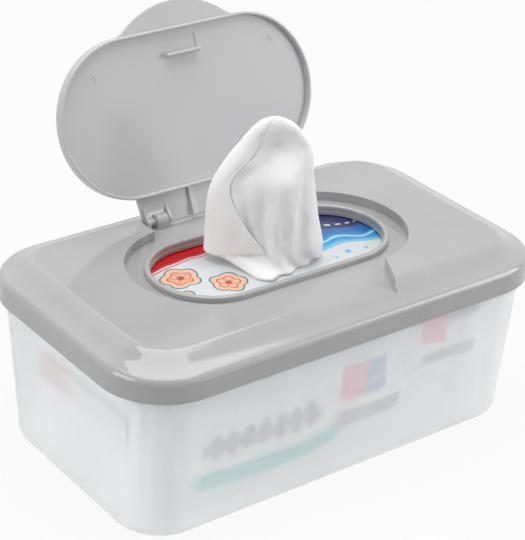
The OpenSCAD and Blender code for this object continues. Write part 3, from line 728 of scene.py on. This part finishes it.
def wipe_tail(footprint):
    """The sheet under the film in x, y and z, as rows from its hidden end up to the slot: it lies along the
    stack, folds once, turns back and rises. The path holds each row's y, height, half length and width."""
    path = [(0.5, 72.7, 13.6, 3.4), (0.5, 71.6, 13.6, 2.6), (3, 70.6, 17, 0.6), (8, 70.2, 22, 0),
            (16, 70.1, 29, 0), (26, 70.1, 36, 0), (35, 70.1, 40, 0), (37, 69.4, 41, 0), (35, 68.7, 41, 0),
            (20, 68.6, 41, 0), (0, 68.6, 41, 0), (-20, 68.6, 41, 0), (-36, 68.6, 41, 0)]
    turns = np.unwrap(np.arctan2(footprint[:, 1] + 2.5, footprint[:, 0] - 1.0))
    spread = np.where(np.arange(len(turns)) < HIDDEN, 0.4, 1.0)
    apart = 0.32 * spread * np.sin(turns) + 0.05 * (np.linspace(0, 1, len(turns)) - 0.5)
    rows = []
    for y, level, half_x, half_y in spline_rows(path, 62):
        lift = apart * (level < 70.9)
        rows.append(np.stack([half_x * np.cos(turns), y + half_y * spread * np.sin(turns), level - lift], -1))
    return np.array(rows)[::-1]


def drawn_wipe():
    """The drawn wipe in two pieces: what stands above the film, and the tail under it."""
    footprint = wipe_footprint()
    u, w, z = np.moveaxis(spread_foot(wipe_hood(), footprint), -1, 0)
    tail = wipe_tail(footprint)
    points = np.concatenate([tail, np.stack([*turned(u, w), z], -1)])
    steps = np.linalg.norm(np.diff(points, axis=0), axis=-1).mean(1)
    length = np.concatenate([[0], np.cumsum(steps)]) * MM
    across = np.linspace(0, WIPE_CUT, points.shape[1])
    uv = np.stack(np.broadcast_arrays(across[None, :], length[:, None]), -1)
    material = nonwoven("drawn_nonwoven", colour(248, 248, 248))
    split = len(tail) - 1
    for name, part in (("drawn_wipe", slice(split, None)), ("drawn_wipe_tail", slice(0, split + 1))):
        obj = walled(new_object(name, grid_mesh(name, points[part] * MM, uv[part])), WIPE_WALL)
        finish_piece(obj, "tub", material, "nonwoven", "leading_wipe")
        if name == "drawn_wipe":
            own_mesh(obj)


# ------------------------------------------------------------------ pieces grown by Geometry Nodes

class Recipe:
    """A Geometry Nodes tree with one number input for each named size."""

    def __init__(self, name, **sizes):
        self.tree = bpy.data.node_groups.new(name, "GeometryNodeTree")
        for key, value in sizes.items():
            kind = "NodeSocketInt" if isinstance(value, int) else "NodeSocketFloat"
            self.tree.interface.new_socket(key, in_out="INPUT", socket_type=kind).default_value = value
        self.tree.interface.new_socket("Geometry", in_out="OUTPUT", socket_type="NodeSocketGeometry")
        self.size = self.tree.nodes.new("NodeGroupInput").outputs

    def feed(self, socket, value):
        if isinstance(value, bpy.types.NodeSocket):
            self.tree.links.new(value, socket)
        else:
            socket.default_value = value

    def add(self, kind, **values):
        """Adds a node and fills its sockets by name, with values or with other nodes' outputs."""
        node = self.tree.nodes.new(kind)
        for key, value in values.items():
            self.feed(next(s for s in node.inputs if s.enabled and s.name == key.replace("_", " ")), value)
        return node

    def maths(self, operation, first, second):
        node = self.tree.nodes.new("ShaderNodeMath")
        node.operation = operation
        self.feed(node.inputs[0], first)
        self.feed(node.inputs[1], second)
        return node.outputs[0]

    def vector(self, x, y, z):
        return self.add("ShaderNodeCombineXYZ", X=x, Y=y, Z=z).outputs[0]

    def close(self, geometry, material):
        real = self.add("GeometryNodeRealizeInstances", Geometry=geometry)
        coated = self.add("GeometryNodeSetMaterial", Geometry=real.outputs[0], Material=material)
        leave = self.tree.nodes.new("NodeGroupOutput")
        self.tree.links.new(coated.outputs[0], leave.inputs[0])

    def grown(self, name, **sizes):
        """The result for these sizes as a plain mesh object."""
        obj = new_object(name, bpy.data.meshes.new(name))
        modifier = obj.modifiers.new("grow", "NODES")
        modifier.node_group = self.tree
        for item in self.tree.interface.items_tree:
            if item.item_type == "SOCKET" and item.in_out == "INPUT" and item.name in sizes:
                modifier[item.identifier] = sizes[item.name]
        return settled(obj)


def end_seals(low, high):
    """Crimped ends of the film, folded up against the pack: a strip with level ribs on its outer face."""
    r = Recipe("crimped_end", Width=0.06, Height=0.011, Thickness=0.0008, Ribs=12)
    width, height, thickness = r.size["Width"], r.size["Height"], r.size["Thickness"]
    strip = r.add("GeometryNodeMeshCube", Size=r.vector(thickness, width, height))
    pitch = r.maths("DIVIDE", height, r.size["Ribs"])
    rib = r.add("GeometryNodeMeshCylinder", Vertices=12, Radius=r.maths("MULTIPLY", pitch, 0.35), Depth=width)
    laid = r.add("GeometryNodeTransform", Geometry=rib.outputs["Mesh"], Rotation=(pi / 2, 0, 0))
    lowest = r.maths("MULTIPLY", r.maths("SUBTRACT", pitch, height), 0.5)
    start = r.vector(r.maths("MULTIPLY", thickness, 0.5), 0.0, lowest)
    line = r.add("GeometryNodeMeshLine", Count=r.size["Ribs"], Start_Location=start,
                 Offset=r.vector(0.0, 0.0, pitch))
    ribs = r.add("GeometryNodeInstanceOnPoints", Points=line.outputs[0], Instance=laid.outputs[0])
    joined = r.add("GeometryNodeJoinGeometry")
    r.feed(joined.inputs[0], strip.outputs["Mesh"])
    r.feed(joined.inputs[0], ribs.outputs[0])
    r.close(joined.outputs[0], FILM)
    middle_z = (low.z + high.z) / 2
    for side, name, nodes in ((1, "end_seal_right", ["film_end_seals"]), (-1, "end_seal_left", [])):
        obj = r.grown(name, Width=high.y - low.y, Height=high.z - low.z)
        placing = Matrix.Translation((side * (PACK_X + 0.4) * MM, 0, middle_z))
        moved(obj, placing @ Matrix.Rotation(0 if side > 0 else pi, 4, "Z"))
        finish_piece(obj, "tub", FILM, "pack_film", *nodes)


def opening_collar(low, high):
    """The raised collar: a slot-shaped path with a round-topped section carried along it."""
    sunk = 0.0006
    r = Recipe("swept_collar", Length=0.1077, Width=0.0499, Wall=0.0022, Height=0.0025, Round=0.0009)
    length = r.maths("SUBTRACT", r.size["Length"], r.size["Wall"])
    width = r.maths("SUBTRACT", r.size["Width"], r.size["Wall"])
    path = r.add("GeometryNodeCurvePrimitiveQuadrilateral", Width=length, Height=width)
    bent = r.add("GeometryNodeFilletCurve", Curve=path.outputs[0], Radius=r.maths("MULTIPLY", width, 0.49999))
    bent.mode = "POLY"
    bent.inputs["Count"].default_value = 48
    level = r.add("GeometryNodeSetCurveNormal", Curve=bent.outputs[0])
    level.mode = "Z_UP"
    section = r.add("GeometryNodeCurvePrimitiveQuadrilateral", Width=r.size["Wall"], Height=r.size["Height"])
    soft = r.add("GeometryNodeFilletCurve", Curve=section.outputs[0], Radius=r.size["Round"])
    soft.mode = "POLY"
    soft.inputs["Count"].default_value = 6
    swept = r.add("GeometryNodeCurveToMesh", Curve=level.outputs[0], Profile_Curve=soft.outputs[0])
    whole = r.add("GeometryNodeMergeByDistance", Geometry=swept.outputs[0], Distance=0.00002)
    shaded = r.add("GeometryNodeSetShadeSmooth", Geometry=whole.outputs[0])
    r.close(shaded.outputs[0], LID)
    obj = r.grown("opening_collar_ring", Length=high.x - low.x, Width=high.y - low.y,
                  Height=high.z - low.z + sunk)
    middle = (low + high) / 2
    moved(obj, Matrix.Translation((middle.x, middle.y, middle.z - sunk / 2)))
    finish_piece(obj, "lid", LID, "grey_lid", "opening_collar")


# ------------------------------------------------------------------ floor, world and lamps

def studio():
    floor = bpy.data.meshes.new("floor")
    bm = bmesh.new()
    bmesh.ops.create_grid(bm, x_segments=8, y_segments=8, size=4.0)
    bm.to_mesh(floor)
    bm.free()
    ground = new_object("floor", floor)
    ground.data.materials.append(bright_floor())

    scene.world = bpy.data.worlds.new("studio")
    f = Finish("studio", scene.world)
    lit = f.add("Background", {}, Color=(1, 1, 1, 1), Strength=0.25)
    white = f.add("Background", {}, Color=(1, 1, 1, 1), Strength=1.0)
    f.close(f.add("MixShader", {}, f.seen(), lit, white), "OutputWorld")

    # Square softboxes: place, height of the point they face, side and power
    for name, at, facing, side, power in (("overhead", (0.05, 0.10, 1.2), 0.06, 1.0, 10.2),
                                          ("left", (-1.25, 0.15, 0.75), 0.06, 0.8, 7.4),
                                          ("right", (1.15, -0.80, 0.70), 0.06, 0.8, 9.0),
                                          ("back", (0.1, 1.2, 0.9), 0.06, 0.8, 1.0),
                                          ("front", (0.75, -1.25, 0.22), 0.08, 0.7, 1.3)):
        data = bpy.data.lights.new(name, "AREA")
        data.shape, data.size, data.energy = "SQUARE", side, power
        lamp = bpy.data.objects.new(name, data)
        lamp.location = at
        lamp.rotation_euler = (Vector((0, 0, facing)) - Vector(at)).to_track_quat("-Z", "Y").to_euler()
        scene.collection.objects.link(lamp)


# ------------------------------------------------------------------ making

place_camera()
LID = grey_moulding("grey_lid", 172, 0.08, 0.0)
# Painted light: the cover's grey is lighter than the lid's, 191 against 172, standing in for the light its
# upturned underside catches
COVER = grey_moulding("grey_cover", 191, 0.16, 3.1)
FILM = printed_film()
TUB = frosted_moulding()

# The mouldings: CAD node, name of its copy, rounding of its edges, body, finish and slot
MOULDINGS = (
    ("tub_shell", "tub_wall", 0, "tub", TUB, "frosted_tub"),
    ("lid_frame", "lid_top", 0.0004, "lid", LID, "grey_lid"),
    ("hinge_lugs", "lid_knuckles", 0.0002, "lid", LID, "grey_lid"),
    ("cover_panel", "flip_cover", 0.00035, "cover", COVER, "grey_cover"),
    ("cover_rim", "flip_cover_rim", 0, "cover", COVER, "grey_cover"),
    ("cover_latch", "flip_cover_latch", 0.00015, "cover", COVER, "grey_cover"),
    ("hinge_arm", "flip_cover_arm", 0.0002, "cover", COVER, "grey_cover"),
    ("hinge_pins", "flip_cover_pins", 0, "cover", COVER, "grey_cover"))

for node, name, ease, body, material, slot in MOULDINGS:
    piece = eased_copy(node, name, ease)
    if node == "lid_frame":
        soften_slope(piece)
    finish_piece(piece, body, material, slot, node)
opening_collar(*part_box("opening_collar"))
refill_pack()
end_seals(*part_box("film_end_seals"))
folded_stack()
drawn_wipe()
studio()
scene.view_settings.view_transform = "Standard"

for node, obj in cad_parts.items():
    if not obj.hide_render:
        raise SystemExit(f"{node} still shows its plain solid")
